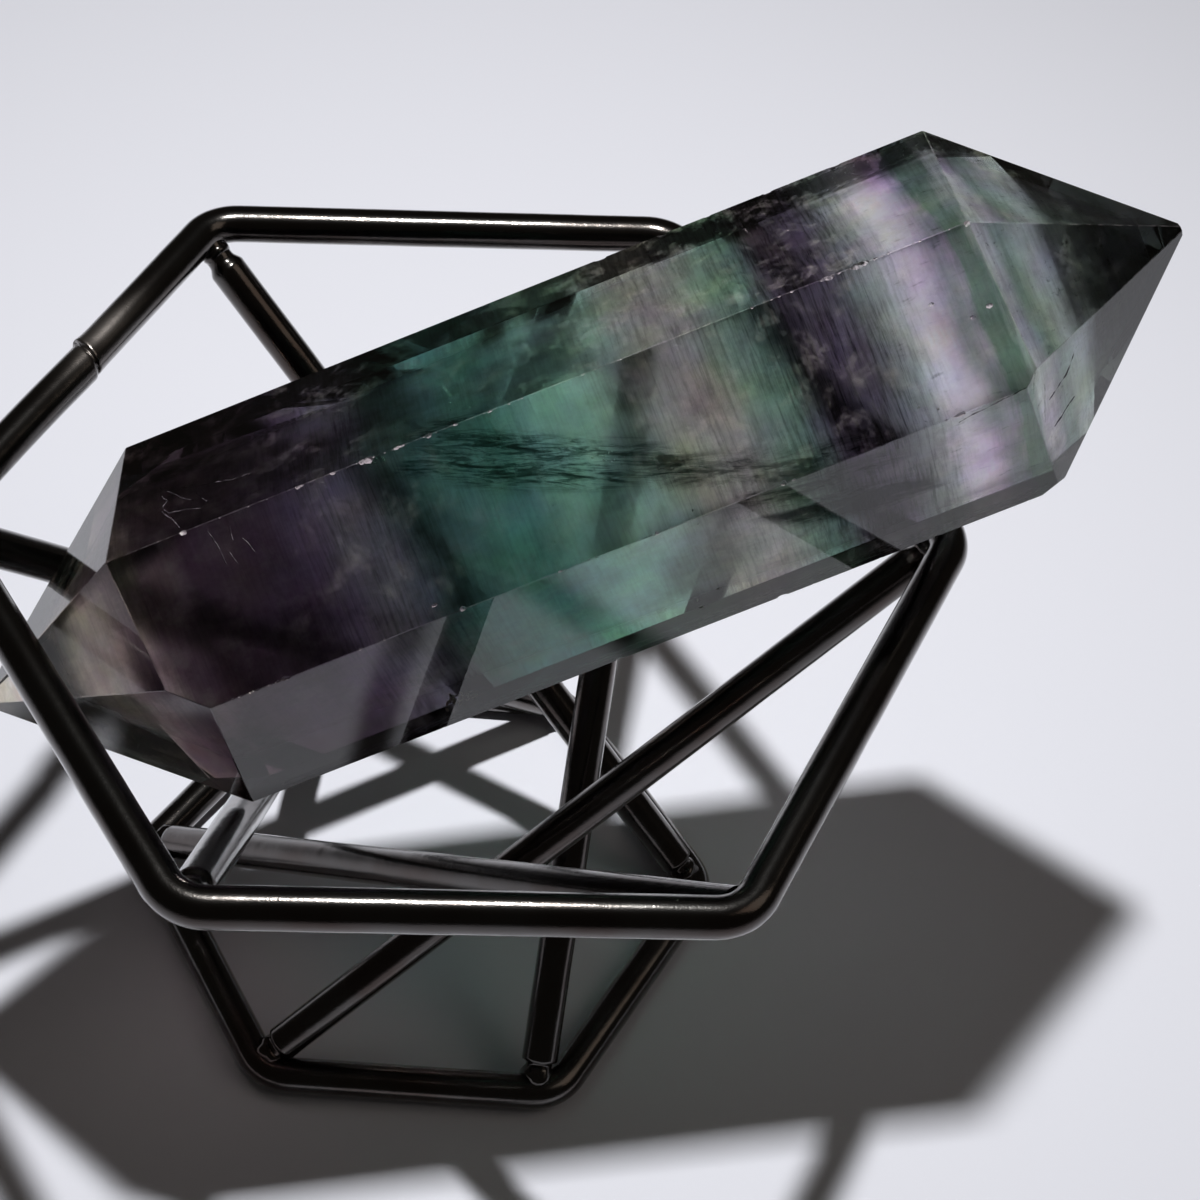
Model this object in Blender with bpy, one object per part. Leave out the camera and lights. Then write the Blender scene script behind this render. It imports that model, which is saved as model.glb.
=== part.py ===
"""A fluorite double point resting in a twisted six-strut wire stand.

The stand is two hexagons of round wire, a large one above a small one, joined by six straight struts. Each
runs from a corner of the upper ring to the corner of the lower ring two places clockwise. The crystal is a
six-sided prism with a six-sided point at both ends. It lies across the stand: its raised half rests on one
side of the upper ring and its low end rests on two of the struts.
Sizes are in millimetres and degrees, and are turned to metres where the meshes are made.
"""
import math

import bmesh
import bpy
from mathutils import Matrix, Vector
from mathutils.geometry import intersect_point_line

MILLIMETRE = 0.001
GAP = 0.3

# Wire of the stand
WIRE_RADIUS = 1.5
WIRE_SIDES = 16
BEND_RADIUS = 3.6
BEND_STEPS = 4
SMOOTH_ANGLE = 40

# The two rings: centre lines, corner to centre, and how far hand bending left each corner from the regular
# hexagon (x, y). Corner 0 is at +X and the corners run anticlockwise seen from above.
TOP_RING_RADIUS = 38.0
TOP_RING_TURN = 0.0
TOP_RING_SLIPS = ((-0.1, 0.0), (-0.4, 0.3), (-0.1, -0.1), (0.6, 0.3), (0.4, 0.1), (-0.1, -0.6))
BASE_RING_RADIUS = 23.8
BASE_RING_TURN = -3.6
BASE_RING_SLIPS = ((0.4, 0.4), (-0.6, -0.4), (0.1, 0.0), (-0.9, 1.1), (-0.6, 0.2), (-0.3, -0.2))
RING_RISE = 46.3

# Struts: each joins a top corner to the base corner STRUT_TWIST places further round, anticlockwise. The
# slips say how far along the ring, anticlockwise, each weld sits from its corner. The wire is cut square
# STRUT_CUT_BACK short of the ring's centre line, and a small weld nugget fills the way to the ring.
STRUT_TWIST = 4
STRUT_HEAD_SLIPS = (0.5, 0.6, 1.7, 1.8, 0.5, 0.5)
STRUT_FOOT_SLIPS = (-1.3, -1.7, 0.4, -0.1, -1.1, -1.2)
STRUT_CUT_BACK = 2.5
WELD_RADIUS = 1.2
WELD_SETBACK = 2.0
WELD_SUBDIVISIONS = 2

# The crystal in its own frame: Z runs along it to the raised tip, and +Y is the way its front side faces.
# It is ground from a larger block. Each side is the direction it faces, from +Y towards +X, and its distance
# from the axis.
CRYSTAL_BLANK = 120
CRYSTAL_SIDES = ((56, 11.4), (0, 12.3), (-59, 11.8), (-121, 11.8), (180, 12.3), (119, 12.02))
# Each point is its apex and, for its six faces, (direction it faces; slope back from the cross-section).
RAISED_APEX = (0.4, 0.0, 46.0)
RAISED_FACES = ((53, 35.5), (3, 38.0), (-55, 37.5), (-116, 40.1), (180, 41.7), (114, 39.0))
LOW_APEX = (0.3, -1.6, -48.5)
LOW_FACES = ((60.5, 35.5), (-3, 40.5), (-52.5, 36.0), (-121, 34.0), (180, 32.5), (122, 31.0))
APEX_CHIP = 0.5
# A small flake is missing where the prism meets the raised point, at the corner that this direction looks at.
FLAKE_TURN = -86
FLAKE_SLOPE = 17
FLAKE_DEPTH = 0.4
# Corners closer together than this, left where more than three faces almost meet in one point, become one.
SAME_CORNER = 0.08
CUT_TOLERANCE = 0.00001

# Where the crystal lies: its middle, measured from the middle of the top ring's circle and from the table,
# the heading of its long axis, anticlockwise from +X, the rise of that axis, and the crystal's turn about it.
CRYSTAL_CENTRE = (9.5, 0.2, 54.9)
CRYSTAL_HEADING = 12.2
CRYSTAL_RISE = 20.9
CRYSTAL_ROLL = 127.0


def clear_scene():
    for item in list(bpy.data.objects):
        bpy.data.objects.remove(item, do_unlink=True)


def make_material(name, colour, metallic, roughness, transmission=0.0, ior=1.5):
    material = bpy.data.materials.new(name)
    material.use_nodes = True
    shader = material.node_tree.nodes["Principled BSDF"]
    shader.inputs["Base Color"].default_value = (*colour, 1.0)
    shader.inputs["Metallic"].default_value = metallic
    shader.inputs["Roughness"].default_value = roughness
    shader.inputs["Transmission Weight"].default_value = transmission
    shader.inputs["IOR"].default_value = ior
    material.diffuse_color = (*colour, 1.0)
    return material


def make_object(name, mesh_builder, material, smooth_angle=0):
    """Turn a bmesh in millimetres into a named object in metres, smooth where faces meet at a low angle."""
    bmesh.ops.recalc_face_normals(mesh_builder, faces=mesh_builder.faces)
    mesh_builder.transform(Matrix.Scale(MILLIMETRE, 4))
    mesh = bpy.data.meshes.new(name)
    mesh_builder.to_mesh(mesh)
    mesh_builder.free()
    if smooth_angle:
        mesh.shade_smooth()
        mesh.set_sharp_from_angle(angle=math.radians(smooth_angle))
    if material:
        mesh.materials.append(material)
    result = bpy.data.objects.new(name, mesh)
    bpy.context.collection.objects.link(result)
    return result


def ring_corners(radius, turn, slips, height):
    corners = []
    for number, slip in enumerate(slips):
        angle = math.radians(turn + 60 * number)
        corner = Vector((radius * math.cos(angle) + slip[0], radius * math.sin(angle) + slip[1], height))
        corners.append(corner)
    return corners


def bend_centre_line(corners):
    """The ring's centre line: (point, direction) pairs, with every corner rounded to BEND_RADIUS."""
    stations = []
    for number, corner in enumerate(corners):
        arriving = (corner - corners[number - 1]).normalized()
        leaving = (corners[(number + 1) % len(corners)] - corner).normalized()
        bend = arriving.angle(leaving)
        tangent_length = BEND_RADIUS * math.tan(bend / 2)
        inward = Vector((-arriving.y, arriving.x, 0))
        bend_centre = corner - arriving * tangent_length + inward * BEND_RADIUS
        for step in range(BEND_STEPS + 1):
            turned = Matrix.Rotation(bend * step / BEND_STEPS, 3, "Z")
            stations.append((bend_centre - turned @ inward * BEND_RADIUS, turned @ arriving))
    return stations


def wire_section(point, direction, radius):
    """A many-sided section of the wire whose flats are radius away from the centre line."""
    outward = Vector((direction.y, -direction.x, 0)).normalized()
    upward = outward.cross(direction)
    corner_radius = radius / math.cos(math.pi / WIRE_SIDES)
    section = []
    for side in range(WIRE_SIDES):
        angle = 2 * math.pi * (side + 0.5) / WIRE_SIDES
        offset = outward * math.cos(angle) + upward * math.sin(angle)
        section.append(point + offset * corner_radius)
    return section


def bridge(builder, first, second):
    for side in range(WIRE_SIDES):
        after = (side + 1) % WIRE_SIDES
        builder.faces.new((first[side], first[after], second[after], second[side]))


def build_ring(corners, wire_radius):
    builder = bmesh.new()
    sections = []
    for point, direction in bend_centre_line(corners):
        section = wire_section(point, direction, wire_radius)
        sections.append([builder.verts.new(vertex) for vertex in section])
    for number, section in enumerate(sections):
        bridge(builder, sections[number - 1], section)
    return builder


def weld_point(corners, number, slip):
    """The point on a ring's bent centre line nearest to a place slip millimetres past a corner."""
    corner = corners[number]
    neighbour = corners[(number + 1) % len(corners)] if slip > 0 else corners[number - 1]
    place = corner + (neighbour - corner).normalized() * abs(slip)
    line = [point for point, _ in bend_centre_line(corners)]
    candidates = []
    for index, point in enumerate(line):
        _, share = intersect_point_line(place, line[index - 1], point)
        share = min(max(share, 0.0), 1.0)
        candidates.append(line[index - 1].lerp(point, share))
    return min(candidates, key=lambda candidate: (candidate - place).length)


def build_strut(head, foot):
    """A straight wire cut square a little short of both rings."""
    builder = bmesh.new()
    direction = (foot - head).normalized()
    ends = []
    for point in (head + direction * STRUT_CUT_BACK, foot - direction * STRUT_CUT_BACK):
        section = wire_section(point, direction, WIRE_RADIUS)
        ends.append([builder.verts.new(vertex) for vertex in section])
    bridge(builder, ends[0], ends[1])
    builder.faces.new(ends[0])
    builder.faces.new(ends[1])
    return builder


def build_weld(head, foot):
    """A round nugget on the strut's line, narrower than the wire, between the wire's cut end and the ring."""
    builder = bmesh.new()
    place = Matrix.Translation(head + (foot - head).normalized() * WELD_SETBACK)
    bmesh.ops.create_icosphere(builder, subdivisions=WELD_SUBDIVISIONS, radius=WELD_RADIUS, matrix=place)
    return builder


def facing(turn, slope, end):
    """Outward direction of a crystal face: turn from +Y towards +X, slope towards the end it belongs to."""
    turn = math.radians(turn)
    slope = math.radians(slope)
    return Vector((math.sin(turn) * math.cos(slope), math.cos(turn) * math.cos(slope), end * math.sin(slope)))


def cut(builder, point, outward):
    """Grind the solid flat at a point, taking away all that lies beyond it."""
    geometry = builder.verts[:] + builder.edges[:] + builder.faces[:]
    bmesh.ops.bisect_plane(builder, geom=geometry, dist=CUT_TOLERANCE, plane_co=point, plane_no=outward,
                           clear_outer=True)
    open_edges = [edge for edge in builder.edges if edge.is_boundary]
    bmesh.ops.holes_fill(builder, edges=open_edges)


def build_crystal():
    builder = bmesh.new()
    bmesh.ops.create_cube(builder, size=CRYSTAL_BLANK)
    for turn, distance in CRYSTAL_SIDES:
        outward = facing(turn, 0, 0)
        cut(builder, outward * distance, outward)
    for apex, faces, end in ((RAISED_APEX, RAISED_FACES, 1), (LOW_APEX, LOW_FACES, -1)):
        for turn, slope in faces:
            cut(builder, Vector(apex), facing(turn, slope, end))
        along = Vector((0, 0, end))
        cut(builder, Vector(apex) - along * APEX_CHIP, along)
    flake = facing(FLAKE_TURN, FLAKE_SLOPE, 1)
    corner = max(builder.verts, key=lambda vertex: vertex.co.dot(flake))
    cut(builder, corner.co - flake * FLAKE_DEPTH, flake)
    bmesh.ops.remove_doubles(builder, verts=builder.verts[:], dist=SAME_CORNER)
    return builder


def crystal_pose():
    heading = Matrix.Rotation(math.radians(CRYSTAL_HEADING), 4, "Z")
    lean = Matrix.Rotation(math.radians(90 - CRYSTAL_RISE), 4, "Y")
    roll = Matrix.Rotation(math.radians(CRYSTAL_ROLL), 4, "Z")
    return Matrix.Translation(CRYSTAL_CENTRE) @ heading @ lean @ roll


def add_boolean(target, tool, operation):
    modifier = target.modifiers.new(tool.name, "BOOLEAN")
    modifier.object = tool
    modifier.operation = operation
    modifier.solver = "EXACT"


def hide_tool(tool):
    tool.hide_render = True
    tool.display_type = "WIRE"


def centre_on_origin(objects):
    """Carry everything so that the middle of the overall box, on the table, is the origin."""
    points = [piece.matrix_world @ vertex.co for piece in objects for vertex in piece.data.vertices]
    middle_x = (min(p.x for p in points) + max(p.x for p in points)) / 2
    middle_y = (min(p.y for p in points) + max(p.y for p in points)) / 2
    carrier = bpy.data.objects.new("carrier", None)
    bpy.context.collection.objects.link(carrier)
    for piece in bpy.data.objects:
        if piece.type == "MESH":
            piece.parent = carrier
    carrier.location = (-middle_x, -middle_y, 0)


def main():
    clear_scene()
    wire_finish = make_material("black_nickel", (0.035, 0.031, 0.030), 1.0, 0.16)
    fluorite = make_material("fluorite", (0.33, 0.42, 0.40), 0.0, 0.05, transmission=1.0, ior=1.434)

    top_corners = ring_corners(TOP_RING_RADIUS, TOP_RING_TURN, TOP_RING_SLIPS, WIRE_RADIUS + RING_RISE)
    base_corners = ring_corners(BASE_RING_RADIUS, BASE_RING_TURN, BASE_RING_SLIPS, WIRE_RADIUS)
    top_ring = make_object("top_ring", build_ring(top_corners, WIRE_RADIUS), wire_finish, SMOOTH_ANGLE)
    base_ring = make_object("base_ring", build_ring(base_corners, WIRE_RADIUS), wire_finish, SMOOTH_ANGLE)
    top_cope = make_object("top_cope", build_ring(top_corners, WIRE_RADIUS + GAP), None)
    base_cope = make_object("base_cope", build_ring(base_corners, WIRE_RADIUS + GAP), None)
    hide_tool(top_cope)
    hide_tool(base_cope)

    for number in range(6):
        foot_corner = (number + STRUT_TWIST) % 6
        head = weld_point(top_corners, number, STRUT_HEAD_SLIPS[number])
        foot = weld_point(base_corners, foot_corner, STRUT_FOOT_SLIPS[number])
        strut = make_object(f"strut_{number + 1}", build_strut(head, foot), wire_finish, SMOOTH_ANGLE)
        for end, start, finish in (("head", head, foot), ("foot", foot, head)):
            bead = build_weld(start, finish)
            weld = make_object(f"weld_{end}_{number + 1}", bead, wire_finish, SMOOTH_ANGLE)
            add_boolean(strut, weld, "UNION")
            hide_tool(weld)
        add_boolean(strut, top_cope, "DIFFERENCE")
        add_boolean(strut, base_cope, "DIFFERENCE")

    builder = build_crystal()
    builder.transform(crystal_pose())
    crystal = make_object("fluorite_point", builder, fluorite)

    centre_on_origin((top_ring, base_ring, crystal))


main()
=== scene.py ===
"""Fluorite double point on a twisted six-strut wire stand.

The stand is welded from bent wire and plated in bright black nickel. The crystal is one piece of banded
fluorite, ground to a six-sided prism with a point at each end and polished.
Lengths are in millimetres until a mesh is made, and the object lies in the CAD frame.
"""
import math
import random

import bmesh
import bpy
from mathutils import Matrix, Vector, noise
from mathutils.geometry import intersect_point_line


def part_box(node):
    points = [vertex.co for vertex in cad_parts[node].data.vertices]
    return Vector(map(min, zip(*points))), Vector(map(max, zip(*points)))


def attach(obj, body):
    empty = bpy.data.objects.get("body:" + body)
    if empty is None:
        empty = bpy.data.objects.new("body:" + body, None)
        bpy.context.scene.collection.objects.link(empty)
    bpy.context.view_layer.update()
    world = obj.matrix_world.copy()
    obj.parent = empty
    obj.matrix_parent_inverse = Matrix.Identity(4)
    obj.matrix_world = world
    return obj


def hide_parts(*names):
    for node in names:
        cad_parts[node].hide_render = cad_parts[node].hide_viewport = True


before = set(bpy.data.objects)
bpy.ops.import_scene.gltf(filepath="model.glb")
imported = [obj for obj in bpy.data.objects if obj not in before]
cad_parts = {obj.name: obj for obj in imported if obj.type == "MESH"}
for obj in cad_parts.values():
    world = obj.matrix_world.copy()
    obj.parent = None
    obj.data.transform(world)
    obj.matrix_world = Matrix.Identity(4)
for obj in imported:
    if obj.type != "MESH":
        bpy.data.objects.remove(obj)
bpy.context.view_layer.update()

MILLIMETRE = 0.001

# Wire of the stand
WIRE_RADIUS = 1.5
BEND_RADIUS = 3.6
BEND_STEPS = 10

# Rings: centre lines, corner to centre, and how far hand bending left each corner from the regular hexagon.
TOP_RING_RADIUS = 38.0
TOP_RING_TURN = 0.0
TOP_RING_SLIPS = ((-0.1, 0.0), (-0.4, 0.3), (-0.1, -0.1), (0.6, 0.3), (0.4, 0.1), (-0.1, -0.6))
BASE_RING_RADIUS = 23.8
BASE_RING_TURN = -3.6
BASE_RING_SLIPS = ((0.4, 0.4), (-0.6, -0.4), (0.1, 0.0), (-0.9, 1.1), (-0.6, 0.2), (-0.3, -0.2))
RING_RISE = 46.3

# Struts: how far along the ring, anticlockwise, each weld sits from its corner.
STRUT_TWIST = 4
STRUT_HEAD_SLIPS = (0.5, 0.6, 1.7, 1.8, 0.5, 0.5)
STRUT_FOOT_SLIPS = (-1.3, -1.7, 0.4, -0.1, -1.1, -1.2)

# Where the crystal lies, and its turn: heading, rise and roll in degrees.
CRYSTAL_MIDDLE = Vector((3.146, 0.341, 54.9))
CRYSTAL_HEADING = 12.2
CRYSTAL_RISE = 20.9
CRYSTAL_ROLL = 127.0

# A Mix node's sockets for colour, by number, since its other sockets have the same names
MIX_FIRST = 6
MIX_SECOND = 7
MIX_RESULT = 2


def linear(hex_colour):
    """An sRGB hex colour as linear red, green, blue, alpha."""
    channels = []
    for start in (1, 3, 5):
        value = int(hex_colour[start:start + 2], 16) / 255
        channels.append(value / 12.92 if value <= 0.04045 else ((value + 0.055) / 1.055) ** 2.4)
    return (*channels, 1.0)


def set_inputs(tree, node, inputs):
    """Set a node's inputs. Each takes a value, another node's output, or a node for its first output."""
    for key, value in inputs.items():
        if isinstance(value, bpy.types.Node):
            value = value.outputs[0]
        if isinstance(value, bpy.types.NodeSocket):
            tree.links.new(value, node.inputs[key])
        else:
            node.inputs[key].default_value = value


def add(tree, kind, settings, inputs):
    """Add a node with its settings and inputs."""
    node = tree.nodes.new(kind)
    for name, value in settings.items():
        setattr(node, name, value)
    set_inputs(tree, node, inputs)
    return node


def calculate(tree, operation, *values, clamp=False):
    """A Math node on up to three values."""
    return add(tree, "ShaderNodeMath", {"operation": operation, "use_clamp": clamp}, dict(enumerate(values)))


def remap(tree, value, source, target=(0.0, 1.0), smooth=False):
    """Carry a value from one range to another, and stop at its ends."""
    settings = {"interpolation_type": "SMOOTHSTEP"} if smooth else {}
    return add(tree, "ShaderNodeMapRange", settings,
               {"Value": value, "From Min": source[0], "From Max": source[1],
                "To Min": target[0], "To Max": target[1]})


def noise_texture(tree, place, scale, detail, roughness=0.5, distortion=0.0):
    return add(tree, "ShaderNodeTexNoise", {},
               {"Vector": place, "Scale": scale, "Detail": detail, "Roughness": roughness,
                "Distortion": distortion})


def mix_colours(tree, share, first, second):
    node = add(tree, "ShaderNodeMix", {"data_type": "RGBA"},
               {"Factor": share, MIX_FIRST: first, MIX_SECOND: second})
    return node.outputs[MIX_RESULT]


def colour_ramp(tree, value, stops):
    """A colour ramp with its stops, each a position and a colour."""
    node = add(tree, "ShaderNodeValToRGB", {}, {"Fac": value})
    elements = node.color_ramp.elements
    while len(elements) < len(stops):
        elements.new(0.5)
    for element, (position, colour) in zip(elements, stops):
        element.position = position
        element.color = colour
    return node


def new_material(name):
    material = bpy.data.materials.new(name)
    material.use_nodes = True
    return material, material.node_tree, material.node_tree.nodes["Principled BSDF"]


def new_object(name, mesh, material):
    mesh.materials.clear()
    mesh.materials.append(material)
    piece = bpy.data.objects.new(name, mesh)
    bpy.context.scene.collection.objects.link(piece)
    return piece


# -------- camera, floor and light

def set_camera():
    right = Vector((0.99431, -0.05321, 0.09224))
    up = Vector((-0.01757, 0.77237, 0.63493))
    back = Vector((-0.10503, -0.63294, 0.76704))
    data = bpy.data.cameras.new("camera")
    data.sensor_width = 36
    data.lens = 74.39
    data.clip_start = 0.01
    camera = bpy.data.objects.new("camera", data)
    turn = Matrix((right, up, back)).transposed().to_4x4()
    camera.matrix_world = Matrix.Translation((-0.01477, -0.12064, 0.18647)) @ turn
    bpy.context.scene.collection.objects.link(camera)
    bpy.context.scene.camera = camera


def set_floor():
    half = 1.5
    mesh = bpy.data.meshes.new("floor")
    corners = ((-half, -half, 0), (half, -half, 0), (half, half, 0), (-half, half, 0))
    mesh.from_pydata(corners, (), ((0, 1, 2, 3),))
    material, tree, shader = new_material("matt white paper")
    set_inputs(tree, shader, {"Base Color": linear("#E0E3F0"), "Roughness": 0.9})
    new_object("floor", mesh, material)


def add_softbox(name, place, size, power, colour):
    light = bpy.data.lights.new(name, "AREA")
    light.energy = power
    light.size = size
    light.color = linear(colour)[:3]
    lamp = bpy.data.objects.new(name, light)
    aim = Vector((0, 0, 0.04)) - Vector(place)
    lamp.location = place
    lamp.rotation_euler = aim.to_track_quat("-Z", "Y").to_euler()
    bpy.context.scene.collection.objects.link(lamp)


def set_light():
    world = bpy.data.worlds.new("studio")
    world.use_nodes = True
    sky = world.node_tree.nodes["Background"]
    set_inputs(world.node_tree, sky, {"Color": linear("#E6DCCF"), "Strength": 0.035})
    bpy.context.scene.world = world
    # Plain sRGB tones: white highlights and true blacks, so the stone keeps its depth of colour.
    bpy.context.scene.view_settings.view_transform = "Standard"
    add_softbox("key softbox", (-0.0012, 0.0494, 0.3114), 0.014, 1.0, "#FFFDF8")
    add_softbox("fill softbox", (0.50, -0.10, 0.60), 0.40, 0.30, "#FFF0DE")


# -------- materials

def black_nickel_material():
    """Bright black nickel plate on drawn steel wire under clear lacquer: a near-black mirror, brown in
    places, with a soft white gloss line that the drawing ripples break into grains."""
    material, tree, shader = new_material("bright black nickel plate")
    place = add(tree, "ShaderNodeTexCoord", {}, {}).outputs["Object"]
    # Tarnish clouds about 6 mm wide turn the plate from neutral to brown.
    clouds = noise_texture(tree, place, 170.0, 3.0)
    tint = colour_ramp(tree, clouds, ((0.38, linear("#33251F")), (0.60, linear("#403C3A"))))
    worn = add(tree, "ShaderNodeAttribute", {"attribute_name": "scuffed"}, {}).outputs["Fac"]
    scuffed = mix_colours(tree, worn, tint, linear("#8A8583"))
    # Handling haze, about a centimetre across
    haze = noise_texture(tree, place, 90.0, 4.0)
    gloss = remap(tree, haze, (0.3, 0.7), (0.08, 0.16))
    rough = calculate(tree, "MULTIPLY_ADD", worn, 0.28, gloss, clamp=True)
    # Plating grain is finer than this; it is drawn 0.11 mm wide so that it shows.
    grain = noise_texture(tree, place, 9000.0, 1.0)
    # Drawing ripples, 0.7 mm long
    ripple = noise_texture(tree, place, 1500.0, 2.0)
    height = calculate(tree, "MULTIPLY_ADD", ripple, 1.2, grain)
    bump = add(tree, "ShaderNodeBump", {}, {"Height": height, "Strength": 0.35, "Distance": 0.000022})
    set_inputs(tree, shader, {"Base Color": scuffed, "Metallic": 1.0, "Roughness": rough, "Normal": bump,
                              "Coat Weight": 1.0, "Coat Roughness": 0.19, "Coat Normal": bump})
    return material


# Colour bands of the fluorite from the low tip to the raised tip: (place along the axis, colour of the light
# that it lets through, how strongly dark fibres mark it). BAND_REACH is how far from the crystal's middle the
# bands are drawn, and BAND_TILT the direction across them.
BANDS = (
    (-48, "#D8CEC4", 0.1),
    (-38, "#D6C6B8", 0.2),
    (-33.5, "#A8948A", 0.3),
    (-31, "#3A2832", 0.3),
    (-27, "#34252F", 0.2),
    (-21, "#382B38", 0.3),
    (-17.5, "#5A5260", 0.6),
    (-14.6, "#55535C", 0.7),
    (-12.5, "#304841", 0.5),
    (-9.5, "#466F65", 0.3),
    (-5, "#426E62", 0.3),
    (-1.5, "#7CA896", 0.25),
    (1.5, "#8BB5A3", 0.25),
    (4.0, "#8DA999", 0.4),
    (6.5, "#9C9C8F", 0.5),
    (10, "#A39C98", 0.6),
    (12.5, "#859B88", 0.5),
    (14.8, "#6B8B7B", 0.8),
    (16.6, "#544A56", 1.0),
    (20.0, "#54475A", 1.0),
    (21.9, "#6C7270", 0.9),
    (23.2, "#98A09C", 0.5),
    (24.3, "#DDD0E0", 0.3),
    (24.9, "#FFF4FC", 0.1),
    (25.9, "#FFF0FB", 0.1),
    (26.7, "#EFD3EE", 0.2),
    (27.8, "#C2A6C8", 0.3),
    (28.5, "#5C7266", 0.3),
    (29.8, "#4F6859", 0.3),
    (30.4, "#A9B2AC", 0.4),
    (35.5, "#A6ADA9", 0.3),
    (38.5, "#3C3F40", 0.2),
)
BAND_REACH = 50.0
BAND_TILT = (0.04, -0.01, 1.0)


def crystal_matrix():
    """From the crystal's own millimetres, with z along its axis, to the object's millimetres."""
    heading = Matrix.Rotation(math.radians(CRYSTAL_HEADING), 4, "Z")
    lean = Matrix.Rotation(math.radians(90 - CRYSTAL_RISE), 4, "Y")
    roll = Matrix.Rotation(math.radians(CRYSTAL_ROLL), 4, "Z")
    return Matrix.Translation(CRYSTAL_MIDDLE) @ heading @ lean @ roll


def crystal_place(tree):
    """The crystal's own millimetres, for a material."""
    into = crystal_matrix().inverted()
    own = add(tree, "ShaderNodeTexCoord", {}, {}).outputs["Object"]
    return add(tree, "ShaderNodeMapping", {"vector_type": "POINT"},
               {"Vector": own, "Location": into.to_translation(), "Rotation": into.to_euler(),
                "Scale": (1000, 1000, 1000)})


def fluorite_material():
    """Polished banded fluorite: low-index glassy stone, so it is clear and soft in its gloss, with colour in
    growth bands across the axis, cloudy and fibrous within each band, and ground white where chipped."""
    material, tree, shader = new_material("polished banded fluorite")
    axis = crystal_place(tree)
    # The bands lie a few degrees off square to the axis, and wander with the growth of the stone.
    along = add(tree, "ShaderNodeVectorMath", {"operation": "DOT_PRODUCT"},
                {0: axis, 1: BAND_TILT}).outputs["Value"]
    drift = noise_texture(tree, axis, 0.10, 2.0)
    feather_space = add(tree, "ShaderNodeMapping", {}, {"Vector": axis, "Scale": (0.22, 0.22, 1.2)})
    feather = noise_texture(tree, feather_space, 1.0, 4.0, roughness=0.62)
    wander = calculate(tree, "MULTIPLY_ADD", drift, 1.6, -0.8)
    ragged = calculate(tree, "MULTIPLY_ADD", feather, 2.2, -1.1)
    offset = calculate(tree, "ADD", wander, ragged)
    place = calculate(tree, "ADD", along, offset)
    share = remap(tree, place, (-BAND_REACH, BAND_REACH))
    shares = [(position + BAND_REACH) / (2 * BAND_REACH) for position, _, _ in BANDS]
    bands = colour_ramp(tree, share, [(stop, linear(colour)) for stop, (_, colour, _) in zip(shares, BANDS)])
    marks = colour_ramp(tree, share, [(stop, (fibres, fibres, fibres, 1.0))
                                      for stop, (_, _, fibres) in zip(shares, BANDS)])
    # Clouds about 4 mm across, each a little off in hue
    cloud = noise_texture(tree, axis, 0.24, 4.0, roughness=0.62)
    cloud_gain = remap(tree, cloud, (0.3, 0.7), (0.6, 1.35))
    # A vector Map Range takes its limits at sockets 7 to 10.
    tint = add(tree, "ShaderNodeMapRange", {"data_type": "FLOAT_VECTOR"},
               {"Vector": cloud.outputs["Color"], 7: (0.3, 0.3, 0.3), 8: (0.7, 0.7, 0.7),
                9: (1.0, 0.80, 0.76), 10: (1.0, 1.20, 1.24)}).outputs["Vector"]
    # Fibres 0.25 mm thick that run across the axis, dark and pale by turns
    fibre_space = add(tree, "ShaderNodeMapping", {}, {"Vector": axis, "Scale": (0.24, 0.24, 3.8)})
    fibre = noise_texture(tree, fibre_space, 1.0, 4.0, roughness=0.72, distortion=0.25)
    dark = remap(tree, fibre, (0.38, 0.66), (-0.55, 0.92), smooth=True)
    lost = calculate(tree, "MULTIPLY", dark, marks)
    # Short cracks along the axis, only in the lilac band and beyond
    crack_space = add(tree, "ShaderNodeMapping", {}, {"Vector": axis, "Scale": (2.6, 2.6, 0.60)})
    crack = noise_texture(tree, crack_space, 1.0, 2.0, roughness=0.6)
    cracked = remap(tree, crack, (0.62, 0.72), (0.0, 0.6))
    zone = remap(tree, place, (21.0, 23.5))
    split = calculate(tree, "MULTIPLY_ADD", cracked, zone, lost)
    kept = calculate(tree, "SUBTRACT", 1.0, split)
    gain = calculate(tree, "MULTIPLY", kept, cloud_gain)
    tinted = add(tree, "ShaderNodeVectorMath", {"operation": "MULTIPLY"}, {0: bands, 1: tint})
    stone = add(tree, "ShaderNodeVectorMath", {"operation": "SCALE"}, {0: tinted, "Scale": gain})
    # Wisps of fluid drops just under the surface, thickest where the fibres are
    wisp = noise_texture(tree, axis, 0.40, 6.0, roughness=0.70, distortion=0.25)
    wisp_share = remap(tree, wisp, (0.47, 0.74), (0.0, 0.70), smooth=True)
    haze = calculate(tree, "MULTIPLY", wisp_share, marks)
    hazy = mix_colours(tree, haze, stone, linear("#8A8785"))
    # Chips and worn edges scatter light at their surface.
    marked = add(tree, "ShaderNodeAttribute", {"attribute_name": "worn"}, {}).outputs["Fac"]
    rub = noise_texture(tree, axis, 1.3, 3.0, roughness=0.75)
    rubbed = remap(tree, rub, (0.40, 0.66), (0.15, 1.5))
    worn = calculate(tree, "MULTIPLY", marked, rubbed, clamp=True)
    colour = mix_colours(tree, worn, hazy, linear("#B3A9B3"))
    rough = calculate(tree, "MULTIPLY", worn, 0.45)
    clouded = calculate(tree, "MULTIPLY_ADD", haze, -0.8, 1.0)
    clear = calculate(tree, "MULTIPLY_ADD", worn, -0.6, clouded, clamp=True)
    set_inputs(tree, shader, {"Base Color": colour, "Roughness": rough, "IOR": 1.434,
                              "Transmission Weight": clear})
    body = add(tree, "ShaderNodeVolumeAbsorption", {}, {"Color": (0.42, 0.5, 0.5, 1.0), "Density": 28.0})
    set_inputs(tree, tree.nodes["Material Output"], {"Volume": body})
    return material


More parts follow.
